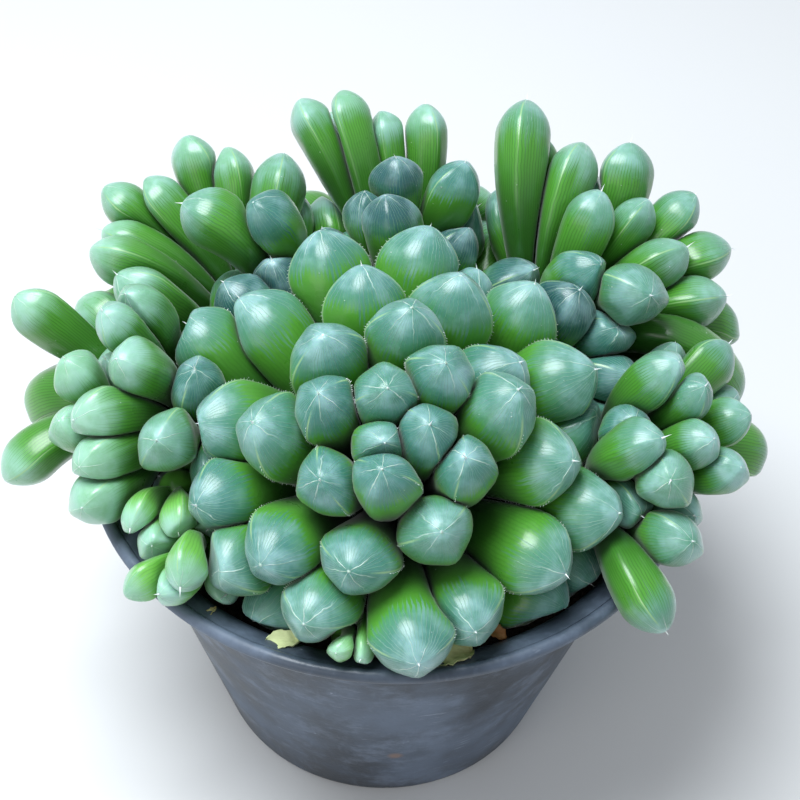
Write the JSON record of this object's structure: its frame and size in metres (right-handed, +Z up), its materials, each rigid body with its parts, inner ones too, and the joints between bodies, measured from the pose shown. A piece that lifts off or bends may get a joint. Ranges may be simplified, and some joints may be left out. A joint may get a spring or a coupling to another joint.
{
  "type": "potted haworthia",
  "caption": "Clump of obtusa haworthia rosettes with blunt, window-tipped leaves, growing in a squat flared plastic nursery pot.",
  "frame": {"origin": "centre of the pot's flat base, on the surface it stands on", "axes": "+Z up along the pot's axis; -Y towards the side the picture was taken from; +X to that viewer's right"},
  "size_m": [0.1155, 0.1045, 0.0919],
  "materials": {
    "pot": "thin black plastic, dusty and lightly scuffed",
    "soil": "dark, rough, gritty potting soil",
    "leaf": "smooth, waxy leaf skin, see-through and grey-blue near the tip, vivid green below",
    "young_leaf": "smooth, waxy leaf skin, bright green with pale stripes"
  },
  "bodies": {
    "root": {"pot": "pot", "soil": "soil", "rosette_main": "leaf", "rosette_left": "leaf", "rosette_back_left": "leaf", "rosette_back": "leaf", "rosette_back_right": "leaf", "rosette_right": "leaf", "pup_upper": "young_leaf", "pup_lower": "young_leaf", "pup_front": "young_leaf"}
  },
  "joints": []
}
